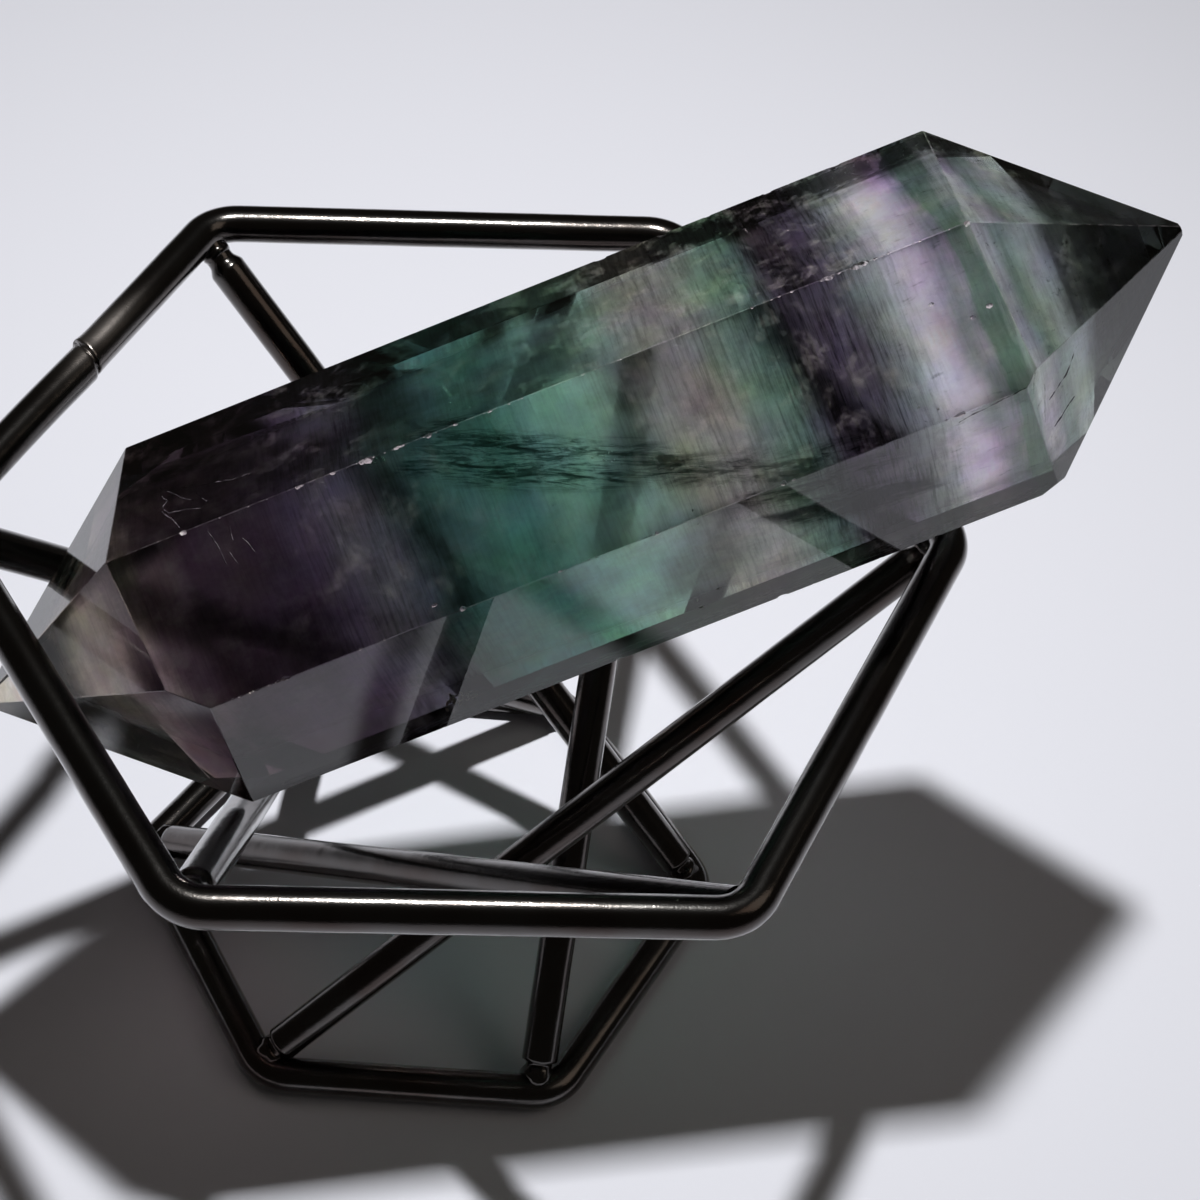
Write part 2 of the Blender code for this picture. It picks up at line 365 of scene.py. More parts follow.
def veil_material():
    """A healed crack inside the stone: a film of tiny fluid drops that blurs what lies behind it, in patches
    with thinner film between."""
    material, tree, shader = new_material("healed veil in fluorite")
    patch_space = add(tree, "ShaderNodeMapping", {},
                      {"Vector": crystal_place(tree), "Scale": [1 / size for size in VEIL_PATCH]})
    patches = noise_texture(tree, patch_space, 1.0, 4.0, roughness=0.66)
    film = remap(tree, patches, (0.35, 0.60), (0.72, 1.0), smooth=True)
    reach = add(tree, "ShaderNodeAttribute", {"attribute_name": "reach"}, {}).outputs["Fac"]
    cover = calculate(tree, "MULTIPLY", film, reach)
    hue = mix_colours(tree, patches, linear("#D3C9D6"), linear("#FFFFFF"))
    set_inputs(tree, shader, {"Base Color": hue, "Alpha": cover, "Roughness": 0.44, "IOR": 1.25,
                              "Transmission Weight": 1.0})
    return material


def film_material(name, pale, dark, grain, turn, edges, cover, clear):
    """A film inside the stone: streaks of it that follow the break, with clear stone between them. grain is
    the size of the streaks in millimetres and turn their angle. edges are the noise levels between which a
    streak fills in, cover is how much it hides at either, and clear is how much light passes the film."""
    material, tree, shader = new_material(name)
    streak_space = add(tree, "ShaderNodeMapping", {"vector_type": "TEXTURE"},
                       {"Vector": crystal_place(tree), "Rotation": (0.0, turn, 0.0), "Scale": grain})
    streaks = noise_texture(tree, streak_space, 1.0, 5.0, roughness=0.70, distortion=0.8)
    film = remap(tree, streaks, edges, cover, smooth=True)
    reach = add(tree, "ShaderNodeAttribute", {"attribute_name": "reach"}, {}).outputs["Fac"]
    hidden = calculate(tree, "MULTIPLY", film, reach)
    tone = colour_ramp(tree, streaks, ((edges[0], linear(pale)), (edges[1], linear(dark))))
    set_inputs(tree, shader, {"Base Color": tone, "Alpha": hidden, "Roughness": 0.35, "IOR": 1.2,
                              "Transmission Weight": clear})
    return material


def speck_material(name, grain, stops, roughness):
    """A matt material for cracks, threads and specks in the stone, with a little change of tone along it.
    grain is the scale per millimetre and the detail of that change."""
    material, tree, shader = new_material(name)
    scale, detail = grain
    change = noise_texture(tree, crystal_place(tree), scale, detail)
    tone = colour_ramp(tree, change, [(position, linear(colour)) for position, colour in stops])
    set_inputs(tree, shader, {"Base Color": tone, "Roughness": roughness})
    return material


def hairline_material():
    """Hairline cracks seen edge on: dark, since the light that meets them is thrown aside."""
    stops = ((0.35, "#1A171C"), (0.70, "#5A5260"))
    return speck_material("hairline crack in fluorite", (1.6, 3.0), stops, 0.5)


def fleck_material(name, shade, bright):
    """Cleavage flecks, threads of fluid drops and stained grains: matt, since they scatter the light."""
    return speck_material(name, (3.0, 2.0), ((0.35, shade), (0.65, bright)), 0.4)


# -------- the wire stand

def ring_corners(radius, turn, slips, height):
    corners = []
    for number, slip in enumerate(slips):
        angle = math.radians(turn + 60 * number)
        x = radius * math.cos(angle) + slip[0]
        y = radius * math.sin(angle) + slip[1]
        corners.append(Vector((x, y, height)))
    return corners


def bend_centre_line(corners):
    """Points of a ring's centre line, with every corner rounded to BEND_RADIUS."""
    line = []
    for number, corner in enumerate(corners):
        arriving = (corner - corners[number - 1]).normalized()
        leaving = (corners[(number + 1) % len(corners)] - corner).normalized()
        bend = arriving.angle(leaving)
        inward = Vector((-arriving.y, arriving.x, 0))
        bend_centre = corner - arriving * BEND_RADIUS * math.tan(bend / 2) + inward * BEND_RADIUS
        for step in range(BEND_STEPS + 1):
            spoke = Matrix.Rotation(bend * step / BEND_STEPS, 3, "Z") @ inward
            line.append(bend_centre - spoke * BEND_RADIUS)
    return line


def weld_point(corners, number, slip):
    """The point on a ring's bent centre line nearest to a place slip millimetres past a corner."""
    corner = corners[number]
    neighbour = corners[(number + 1) % len(corners)] if slip > 0 else corners[number - 1]
    place = corner + (neighbour - corner).normalized() * abs(slip)
    line = bend_centre_line(corners)
    candidates = []
    for index, point in enumerate(line):
        _, share = intersect_point_line(place, line[index - 1], point)
        candidates.append(line[index - 1].lerp(point, min(max(share, 0.0), 1.0)))
    return min(candidates, key=lambda candidate: (candidate - place).length)


def middle(points):
    xs = [point[0] for point in points]
    ys = [point[1] for point in points]
    return Vector(((min(xs) + max(xs)) / 2, (min(ys) + max(ys)) / 2, 0))


def start_tree(name, sockets):
    """A Geometry Nodes tree with its inputs: a mesh, sizes by name, kind and value, and a finish."""
    tree = bpy.data.node_groups.new(name, "GeometryNodeTree")
    for title, kind, value in (("Geometry", "Geometry", None), *sockets, ("Finish", "Material", None)):
        socket = tree.interface.new_socket(title, in_out="INPUT", socket_type=f"NodeSocket{kind}")
        if value is not None:
            socket.default_value = value
    tree.interface.new_socket("Geometry", in_out="OUTPUT", socket_type="NodeSocketGeometry")
    return tree, add(tree, "NodeGroupInput", {}, {}).outputs


def end_tree(tree, given, shape):
    """End a tree with real geometry, all in its finish."""
    real = add(tree, "GeometryNodeRealizeInstances", {}, {"Geometry": shape})
    finished = add(tree, "GeometryNodeSetMaterial", {}, {"Geometry": real, "Material": given["Finish"]})
    add(tree, "NodeGroupOutput", {}, {"Geometry": finished})


def wire_tree():
    """A round wire along a line: corners bent to a radius, ends necked in to their welds, and the small lumps
    that drawing and plating leave. Its sizes are in metres."""
    tree, given = start_tree("bent wire", (
        ("Wire radius", "Float", WIRE_RADIUS * MILLIMETRE),
        ("Bend radius", "Float", BEND_RADIUS * MILLIMETRE), ("Bend steps", "Int", BEND_STEPS),
        ("Sides", "Int", 32), ("Spacing", "Float", 0.0004),
        ("Head neck", "Float", 1.0), ("Foot neck", "Float", 1.0), ("Neck length", "Float", 0.0016),
        ("Head rounding", "Float", 0.0009), ("Foot rounding", "Float", 0.0002),
        ("Lump height", "Float", 0.00005), ("Lump size", "Float", 0.003), ("Seed", "Float", 0.0)))
    line = add(tree, "GeometryNodeMeshToCurve", {}, {"Mesh": given["Geometry"]})
    bent = add(tree, "GeometryNodeFilletCurve", {"mode": "POLY"},
               {"Curve": line, "Count": given["Bend steps"], "Radius": given["Bend radius"]})
    even = add(tree, "GeometryNodeResampleCurve", {"mode": "LENGTH"},
               {"Curve": bent, "Length": given["Spacing"]})
    # Thickness near the ends: a narrow weld neck, then a shoulder where the wire was cut
    travelled = add(tree, "GeometryNodeSplineParameter", {}, {}).outputs["Length"]
    whole = add(tree, "GeometryNodeSplineLength", {}, {})
    left = calculate(tree, "SUBTRACT", whole, travelled)
    necks = []
    for end, distance in (("Head", travelled), ("Foot", left)):
        shoulder = calculate(tree, "ADD", given["Neck length"], given[f"{end} rounding"])
        necks.append(remap(tree, distance, (given["Neck length"], shoulder), (given[f"{end} neck"], 1.0),
                           smooth=True))
    thickness = calculate(tree, "MINIMUM", necks[0], necks[1])
    section = add(tree, "GeometryNodeCurvePrimitiveCircle", {"mode": "RADIUS"},
                  {"Resolution": given["Sides"], "Radius": given["Wire radius"]})
    wire = add(tree, "GeometryNodeCurveToMesh", {},
               {"Curve": even, "Profile Curve": section, "Scale": thickness, "Fill Caps": True})
    # Lumps push the surface in and out along its normal.
    place = add(tree, "GeometryNodeInputPosition", {}, {})
    inverse = calculate(tree, "DIVIDE", 1.0, given["Lump size"])
    lumps = add(tree, "ShaderNodeTexNoise", {"noise_dimensions": "4D"},
                {"Vector": place, "W": given["Seed"], "Scale": inverse, "Detail": 2.0})
    centred = calculate(tree, "SUBTRACT", lumps, 0.5)
    push = calculate(tree, "MULTIPLY", centred, given["Lump height"])
    normal = add(tree, "GeometryNodeInputNormal", {}, {})
    shift = add(tree, "ShaderNodeVectorMath", {"operation": "SCALE"}, {0: normal, "Scale": push})
    lumpy = add(tree, "GeometryNodeSetPosition", {}, {"Geometry": wire, "Offset": shift})
    end_tree(tree, given, add(tree, "GeometryNodeSetShadeSmooth", {}, {"Geometry": lumpy}))
    return tree


def line_mesh(name, lines, closed):
    """Lines of points, in millimetres, as a mesh of edges in metres."""
    points = []
    edges = []
    for line in lines:
        first = len(points)
        points.extend(Vector(point) * MILLIMETRE for point in line)
        edges.extend((index, index + 1) for index in range(first, len(points) - 1))
        if closed:
            edges.append((len(points) - 1, first))
    mesh = bpy.data.meshes.new(name)
    mesh.from_pydata(points, edges, ())
    return mesh


def grow_mesh(name, start, tree, inputs, material):
    """Run a Geometry Nodes tree on a mesh and keep the result as a plain mesh."""
    seed = bpy.data.objects.new(f"{name} start", start)
    bpy.context.scene.collection.objects.link(seed)
    modifier = seed.modifiers.new("grow", "NODES")
    modifier.node_group = tree
    values = {**inputs, "Finish": material}
    for item in tree.interface.items_tree:
        if item.in_out == "INPUT" and item.name in values:
            modifier[item.identifier] = values[item.name]
    bpy.context.view_layer.update()
    ready = seed.evaluated_get(bpy.context.evaluated_depsgraph_get())
    mesh = bpy.data.meshes.new_from_object(ready)
    seed.modifiers.clear()
    bpy.data.objects.remove(seed, do_unlink=True)
    mesh.name = name
    return mesh


# Butt joint in the top ring, on the bar from corner 2 to corner 3: its place along the bar and its slant, the
# rim on the near end, the groove between the ends, and how far the far end sits inward.
JOINT_PLACE = 18.3
JOINT_SLANT = 0.30
JOINT_LOOPS = (-1.3, -0.9, -0.6, -0.4, -0.25, -0.12, 0.0, 0.12, 0.25, 0.4, 0.6, 0.9, 1.3)
RIM_HEIGHT = 0.15
RIM_LENGTH = 0.6
GROOVE_DEPTH = 0.30
GROOVE_PLACE = 0.12
GROOVE_LENGTH = 0.17
STEP_HEIGHT = 0.20
STEP_LENGTH = 10
# Scuffed wire beside the joint
SCUFF_PLACE = 16.4
SCUFF_LENGTH = 5.5
# What counts as the straight bar: this far from either corner, and this near to its centre line.
BAR_MARGIN = 3
BAR_REACH = 2.5


def add_butt_joint(mesh, near, far):
    """Shape the joint where the ring's two wire ends were welded, and scuff the wire beside it."""
    along = (far - near).normalized()
    inward = Vector((-along.y, along.x, 0))
    plane = (along - inward * JOINT_SLANT).normalized()
    builder = bmesh.new()
    builder.from_mesh(mesh)
    builder.transform(Matrix.Scale(1 / MILLIMETRE, 4))
    length = (far - near).length

    def on_bar(point):
        travelled = (point - near).dot(along)
        spoke = (point - near) - along * travelled
        return BAR_MARGIN < travelled < length - BAR_MARGIN and spoke.length < BAR_REACH

    for loop in JOINT_LOOPS:
        faces = [face for face in builder.faces if on_bar(face.calc_center_median())]
        edges = {edge for face in faces for edge in face.edges}
        verts = {vert for face in faces for vert in face.verts}
        bmesh.ops.bisect_plane(builder, geom=list(verts) + list(edges) + faces,
                               plane_co=near + along * JOINT_PLACE + plane * loop, plane_no=plane)
    scuff = builder.verts.layers.float.new("scuffed")
    for vert in builder.verts:
        if not on_bar(vert.co):
            continue
        travelled = (vert.co - near).dot(along)
        spoke = ((vert.co - near) - along * travelled).normalized()
        past = (vert.co - near - along * JOINT_PLACE).dot(plane)
        outer = 0.5 - 0.5 * spoke.dot(inward)
        swell = -GROOVE_DEPTH * math.exp(-((past - GROOVE_PLACE) / GROOVE_LENGTH) ** 2)
        if past < 0:
            swell += RIM_HEIGHT * math.exp(past / RIM_LENGTH) * (0.3 + outer)
        vert.co += spoke * swell
        if past > 0:
            vert.co += inward * STEP_HEIGHT * max(0.0, 1 - past / STEP_LENGTH) ** 2
        near_joint = math.exp(-((travelled - SCUFF_PLACE) / SCUFF_LENGTH) ** 2)
        vert[scuff] = near_joint * max(0.0, spoke.z * 0.6 + outer * 0.5)
    builder.transform(Matrix.Scale(MILLIMETRE, 4))
    builder.to_mesh(mesh)
    builder.free()


# Welds: each strut is necked in beside the ring and sits in a nugget of melted wire, given by its radius and
# its distance from the centre line of the ring. One strut has no neck at its head.
NECK = 0.74
HEAD_NUGGET = (1.22, 1.75)
FOOT_NUGGET = (1.42, 1.50)
SMOOTH_HEAD = 6
# How far the ends of a strut's wire lie from the rings' centre lines
STRUT_END = 0.9
# A nugget's lumps, coarse and fine, each a share of its radius and a scale per metre, and how flat it is
NUGGET_LUMPS = ((0.22, 1100), (0.10, 2600))
NUGGET_FLATNESS = 0.25


def add_nuggets(mesh, welds, seed):
    """Add a melted lump at each weld; welds are (centre line point, direction along the strut, nugget)."""
    chance = random.Random(seed)
    builder = bmesh.new()
    builder.from_mesh(mesh)
    for point, direction, (radius, setback) in welds:
        place = (point + direction * setback) * MILLIMETRE
        made = bmesh.ops.create_icosphere(builder, subdivisions=3, radius=radius * MILLIMETRE,
                                          matrix=Matrix.Translation(place))
        shift = Vector((chance.uniform(0, 50), 0, 0))
        for vert in made["verts"]:
            spoke = vert.co - place
            lump = sum(share * noise.noise(spoke * scale + shift) for share, scale in NUGGET_LUMPS)
            vert.co += spoke * lump - direction * spoke.dot(direction) * NUGGET_FLATNESS
        for face in {face for vert in made["verts"] for face in vert.link_faces}:
            face.smooth = True
    builder.to_mesh(mesh)
    builder.free()


def keep_wire(name, mesh, finish):
    piece = new_object(name, mesh, finish)
    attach(piece, "root")
    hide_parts(name.removesuffix("_wire"))


def build_stand():
    finish = black_nickel_material()
    tree = wire_tree()
    top = ring_corners(TOP_RING_RADIUS, TOP_RING_TURN, TOP_RING_SLIPS, WIRE_RADIUS + RING_RISE)
    base = ring_corners(BASE_RING_RADIUS, BASE_RING_TURN, BASE_RING_SLIPS, WIRE_RADIUS)
    low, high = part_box("top_ring")
    seat = (Vector(low) + Vector(high)) / 2 / MILLIMETRE
    shift = Vector((seat.x, seat.y, 0)) - middle(bend_centre_line(top))
    top = [corner + shift for corner in top]
    base = [corner + shift for corner in base]
    for name, corners, seed in (("top_ring_wire", top, 1.0), ("base_ring_wire", base, 2.0)):
        mesh = grow_mesh(name, line_mesh(name, [corners], True), tree, {"Seed": seed}, finish)
        if corners is top:
            add_butt_joint(mesh, corners[2], corners[3])
        keep_wire(name, mesh, finish)
    for number in range(1, 7):
        head = weld_point(top, number - 1, STRUT_HEAD_SLIPS[number - 1])
        foot = weld_point(base, (number - 1 + STRUT_TWIST) % 6, STRUT_FOOT_SLIPS[number - 1])
        along = (foot - head).normalized()
        values = {"Seed": 10.0 + number, "Spacing": 0.0002, "Sides": 28,
                  "Head neck": 1.0 if number == SMOOTH_HEAD else NECK, "Foot neck": NECK}
        name = f"strut_{number}_wire"
        start = line_mesh(name, [(head + along * STRUT_END, foot - along * STRUT_END)], False)
        mesh = grow_mesh(name, start, tree, values, finish)
        add_nuggets(mesh, ((head, along, HEAD_NUGGET), (foot, -along, FOOT_NUGGET)), number)
        keep_wire(name, mesh, finish)


# -------- the crystal

# Wear along the edges of the crystal: a ground line on every edge, and chips of a few tenths of a millimetre.
EDGE_WEAR = 0.05
GROUND_WEAR = 0.30
# Chips: (corner between two prism faces in x and y, places along the axis, size)
FRONT_TOP_CORNER = (5.45, 12.3)
FRONT_LOW_CORNER = (-6.38, 12.3)
TOP_CORNER = (13.75, 0.0)
LOW_CORNER = (-13.77, 0.0)
CHIPS = (
    (FRONT_TOP_CORNER, (-26.9, -13.7, -13.3, 22.2), 0.42),
    (FRONT_TOP_CORNER, (-15.9, -11.2, -8.9, -18.4, 19.6, 20.0, 22.6, 29.9), 0.28),
    (FRONT_LOW_CORNER, (-24.0, -11.0, 3.0, 12.2, 24.9), 0.26),
    (TOP_CORNER, (6.2, 11.0, 14.5, 19.1, 24.3), 0.40),
    (LOW_CORNER, (-20.5, -3.0, 9.6, 21.5), 0.34),
)
# Small chips: (corner, from and to along the axis, how many)
SMALL_CHIPS = ((FRONT_TOP_CORNER, -28, 30, 46), (FRONT_LOW_CORNER, -28, 29, 18), (TOP_CORNER, -29, 30, 30),
               (LOW_CORNER, -29, 29, 18))
SMALL_CHIP_SIZE = 0.13
PITS = ((1.2, 12.3, 25.7), (-0.3, 12.3, 29.3), (-0.6, 12.3, 28.0), (7.2, 11.2, 0.4), (8.8, 8.8, 3.3),
        (-11.5, 3.8, 5.6), (-12.3, 2.4, 3.9), (-5.4, 12.3, -12.7))
PIT_SIZE = 0.2
# Least and most that a chip is stretched in x, y and along the axis
CHIP_STRETCHES = ((0.6, 1.0), (0.5, 0.9), (0.9, 1.7))

# Sheets inside the crystal: their size before they are trimmed, how far they stay from its walls, how far in
# their edge fades, and the scale of their waves
SHEET_SIZE = (28, 84)
SHEET_MARGIN = 0.25
SHEET_FADE = 1.6
WAVE_SCALE = 0.12

# The veil: how far it lies in front of the axis, its lean, its grid and waves, and the size of its patches
VEIL_DEPTH = 3.2
VEIL_LEAN = 0.05
VEIL_STEP = 1.0
VEIL_WAVE = 0.8
VEIL_SEED = 3
VEIL_PATCH = (2.2, 2.2, 3.4)

# Sides of the crystal by the angle of their normal around its axis: in front, and above and below at the back
FRONT_SIDE = 90.0
BACK_TOP_SIDE = -28.6
BACK_LOW_SIDE = 211.2
# Films: (kind, side it lies along, distance from the axis, seed, outline in millimetres along and across)
FILMS = (
    ("feathered", FRONT_SIDE, 8.8, 21,
     ((-12.8, 4.1), (-10.5, 5.6), (-8.2, 6.1), (-4.6, 4.6), (0.0, 2.4), (4.8, 0.2), (9.0, -3.6), (8.0, -4.6),
      (4.0, -3.2), (0.6, -2.6), (-6.9, 0.4))),
    ("smoky", FRONT_SIDE, 7.0, 40,
     ((2.5, -0.6), (7.0, -1.6), (13.0, -3.6), (19.5, -4.6), (22.0, -6.4), (18.0, -7.4), (10.0, -6.3),
      (4.5, -3.8))),
    ("smoky", FRONT_SIDE, 5.2, 57,
     ((8.0, -5.2), (15.0, -5.6), (21.0, -7.6), (24.0, -10.6), (19.0, -10.9), (12.5, -9.2))),
    # A smoky film along the whole back low face darkens the stone seen through it.
    ("smoky", BACK_LOW_SIDE, 11.3, 63, ((-30.0, 8.5), (31.0, 8.5), (31.0, 2.5), (-30.0, 2.5))),
    # Painted shade: a dark streaked film along the back top face that lets no light through, standing for the
    # stone's own shadow on the floor seen through its top face.
    ("fibrous", BACK_TOP_SIDE, 11.6, 12, ((9.0, -8.5), (34.0, -8.5), (34.0, 9.5), (9.0, 9.5))),
)
FILM_STEP = 0.4
FILM_WAVE = 0.5
# How far inside its outline a film fades, and how far outside it the sheet is cut off
FILM_FADE = 0.8
FILM_MARGIN = 0.5

# Healed threads that reach the surface near the low end, in the crystal's own millimetres
THREAD_RADIUS = 0.035
THREAD_WANDER = 0.4
THREADS = (
    ((9.4, 6.4, -28.4), (8.0, 8.6, -26.8), (7.5, 9.2, -26.0)),
    ((8.7, 7.5, -28.3), (8.2, 8.3, -27.9), (7.8, 8.9, -28.3), (7.2, 9.7, -27.8), (7.1, 9.9, -26.9),
     (6.7, 10.5, -25.4)),
    ((7.5, 9.3, -28.3), (6.6, 10.6, -27.6), (5.8, 11.7, -27.1)),
    ((8.7, 7.4, -26.8), (8.2, 8.2, -24.5), (7.9, 8.7, -23.0), (7.8, 8.8, -21.7)),
    ((7.9, 8.6, -25.7), (7.0, 10.1, -25.0)),
    ((4.9, 12.3, -25.3), (3.8, 12.3, -25.0), (2.2, 12.3, -24.9)),
    ((4.6, 12.3, -23.8), (3.7, 12.3, -23.9)),
    ((3.6, 12.3, -23.2), (2.4, 12.3, -22.8)),
    ((3.0, 12.3, -24.4), (1.8, 12.3, -24.1)),
)
# Hairline cracks by the low front edge and in the raised end
HAIRLINE_RADIUS = 0.035
HAIRLINE_WANDER = 0.3
HAIRLINES = (
    ((-6.3, 12.25, 29.6), (-6.5, 12.2, 27.2), (-6.8, 12.05, 24.6)),
    ((-7.6, 9.9, 31.0), (-6.4, 10.9, 32.6), (-5.2, 10.9, 33.6)),
    ((-9.4, 6.6, 31.2), (-8.0, 8.0, 33.0)),
)
# Flecks: (middle, spread, how many, size) in the crystal's own millimetres
FLECK_GROUPS = (
    ((-0.2, 12.15, 1.6), (0.8, 0.04, 1.2), 14, 0.10),
    ((-1.1, 12.15, 8.6), (0.7, 0.04, 0.9), 5, 0.08),
    ((5.1, 11.6, -13.2), (0.5, 0.4, 0.9), 8, 0.16),
    ((6.6, 9.8, -8.0), (0.7, 0.9, 2.6), 10, 0.12),
    ((0.0, 4.0, 2.0), (7.0, 6.0, 30.0), 70, 0.055),
    ((-5.4, 11.6, -12.7), (0.1, 0.1, 0.1), 1, 0.20),
    ((-11.8, 3.2, 3.9), (0.2, 0.2, 0.2), 2, 0.18),
    ((-7.6, 9.2, 5.6), (2.6, 0.8, 3.6), 9, 0.09),
    ((-4.6, 11.4, 22.6), (1.6, 0.4, 1.4), 7, 0.10),
)
INCLUSION_GROUPS = (((-12.1, 2.2, -14.5), (0.5, 0.9, 1.1), 34, 0.34),)
# How far a fleck's middle stays inside the walls, in sizes of the fleck
FLECK_MARGIN = 1.2


def chip_tool(builder, place, size, chance):
    """A rough lump that cuts a chip."""
    angle = chance.uniform(0, math.tau)
    turn = Matrix.Rotation(angle, 4, Vector((chance.random(), chance.random(), 1)).normalized())
    stretches = [chance.uniform(low, high) for low, high in CHIP_STRETCHES]
    shape = Matrix.Translation(place) @ Matrix.Diagonal((*stretches, 1)) @ turn
    made = bmesh.ops.create_icosphere(builder, subdivisions=1, radius=size, matrix=shape)
    for vert in made["verts"]:
        vert.co = place + (vert.co - place) * chance.uniform(0.75, 1.2)


def chip_tools():
    """All the lumps that chip the crystal, in its own millimetres."""
    chance = random.Random(7)
    builder = bmesh.new()
    for corner, places, size in CHIPS:
        for along in places:
            chip_tool(builder, Vector((*corner, along)), size * chance.uniform(0.8, 1.2), chance)
    for corner, first, last, count in SMALL_CHIPS:
        for _ in range(count):
            place = Vector((*corner, chance.uniform(first, last)))
            chip_tool(builder, place, SMALL_CHIP_SIZE * chance.uniform(0.5, 1.3), chance)
    for pit in PITS:
        chip_tool(builder, Vector(pit), PIT_SIZE, chance)
    mesh = bpy.data.meshes.new("chip_tools")
    builder.to_mesh(mesh)
    builder.free()
    return mesh


def cut_chips(mesh):
    """Cut the chips out of the crystal, and mark the faces that they leave as worn."""
    body = bpy.data.objects.new("crystal_body", mesh)
    tools = bpy.data.objects.new("chip_tools", chip_tools())
    for thing in (body, tools):
        bpy.context.scene.collection.objects.link(thing)
    polish = bpy.data.materials.new("polish")
    chipped = bpy.data.materials.new("chipped")
    body.data.materials.append(polish)
    tools.data.materials.append(chipped)
    cut = body.modifiers.new("chips", "BOOLEAN")
    cut.operation = "DIFFERENCE"
    cut.solver = "EXACT"
    cut.use_self = True
    cut.material_mode = "TRANSFER"
    cut.object = tools
    bpy.context.view_layer.update()
    result = bpy.data.meshes.new_from_object(body.evaluated_get(bpy.context.evaluated_depsgraph_get()))
    broken = [result.materials[face.material_index] == chipped for face in result.polygons]
    wear = result.attributes["wear"].data
    worn = result.attributes.new("worn", "FLOAT", "FACE")
    for number, face_is_broken in enumerate(broken):
        worn.data[number].value = 1.0 if face_is_broken else wear[number].value
    for thing in (body, tools):
        bpy.data.objects.remove(thing, do_unlink=True)
    for leftover in (polish, chipped):
        bpy.data.materials.remove(leftover)
    return result


def crystal_solid():
    """The crystal from the CAD frame in its own millimetres, as clean flat faces."""
    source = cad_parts["fluorite_point"]
    builder = bmesh.new()
    builder.from_mesh(source.data)
    builder.transform(crystal_matrix().inverted() @ Matrix.Scale(1 / MILLIMETRE, 4) @ source.matrix_world)
    bmesh.ops.remove_doubles(builder, verts=builder.verts[:], dist=0.001)
    bmesh.ops.dissolve_limit(builder, angle_limit=math.radians(1), verts=builder.verts[:],
                             edges=builder.edges[:])
    return builder


def object_metres():
    """From the crystal's own millimetres to the object's metres."""
    return Matrix.Scale(MILLIMETRE, 4) @ crystal_matrix()


def inner_sheet(walls, place, turn, step, wave, seed):
    """A gently waved sheet inside the crystal, trimmed to its walls, each given as (normal, distance). Its
    attribute reach fades to nothing at the border."""
    builder = bmesh.new()
    columns, rows = (round(side / step) for side in SHEET_SIZE)
    shape = Matrix.Translation(place) @ turn @ Matrix.Diagonal((*SHEET_SIZE, 1, 1))
    bmesh.ops.create_grid(builder, x_segments=columns, y_segments=rows, size=0.5, matrix=shape)
    limits = [(normal, distance - SHEET_MARGIN) for normal, distance in walls]
    for normal, distance in limits:
        geometry = builder.verts[:] + builder.edges[:] + builder.faces[:]
        bmesh.ops.bisect_plane(builder, geom=geometry, plane_co=normal * distance, plane_no=normal,
                               clear_outer=True)
    reach = builder.verts.layers.float.new("reach")
    up = turn.to_3x3() @ Vector((0, 0, 1))
    for vert in builder.verts:
        fade = min((distance - normal.dot(vert.co)) / SHEET_FADE for normal, distance in limits)
        vert[reach] = min(max(fade, 0.0), 1.0)
        push = noise.fractal(vert.co * WAVE_SCALE + Vector((seed, 0, 0)), 1.0, 2.0, 3) * wave
        vert.co += up * push * vert[reach]
    mesh = bpy.data.meshes.new("sheet")
    builder.to_mesh(mesh)
    builder.free()
    for face in mesh.polygons:
        face.use_smooth = True
    mesh.transform(object_metres())
    return mesh


def keep_in_crystal(name, mesh, material):
    mesh.name = name
    piece = new_object(name, mesh, material)
    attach(piece, "root")
    return piece


def build_veil(walls):
    turn = Matrix.Rotation(math.radians(-90) + VEIL_LEAN, 4, "X")
    mesh = inner_sheet(walls, Vector((0, VEIL_DEPTH, 0)), turn, VEIL_STEP, VEIL_WAVE, VEIL_SEED)
    keep_in_crystal("veil_1", mesh, veil_material())


def build_films(walls):
    """Films along the crystal's faces: an open fracture, smoky clouds, and a dark streaked film of painted
    shade along the back top face.
    """
    finishes = {
        "feathered": film_material("open fracture in fluorite", "#31504A", "#0F1817", (0.42, 1.0, 3.6), -0.38,
                                   (0.38, 0.62), (0.10, 1.0), 1.0),
        "smoky": film_material("smoky cloud in fluorite", "#3F4744", "#15181B", (1.6, 1.6, 6.0), -0.20,
                               (0.36, 0.60), (0.20, 0.92), 0.6),
        # Painted shade along the back top face: dark streaks that let no light through.
        "fibrous": film_material("fibrous painted shade in fluorite", "#3B353E", "#100E13", (3.0, 3.0, 0.40), 0.1,
                                 (0.30, 0.62), (0.60, 1.0), 0.0),
    }
    for number, (kind, side, distance, seed, corners) in enumerate(FILMS, 1):
        turn = Matrix.Rotation(math.radians(side - 90), 4, "Z") @ Matrix.Rotation(math.radians(-90), 4, "X")
        place = turn.to_3x3() @ Vector((0, 0, distance))
        mesh = inner_sheet(walls, place, turn, FILM_STEP, FILM_WAVE, seed)
        fade_to_outline(mesh, corners, side)
        keep_in_crystal(f"{kind}_film_{number}", mesh, finishes[kind])


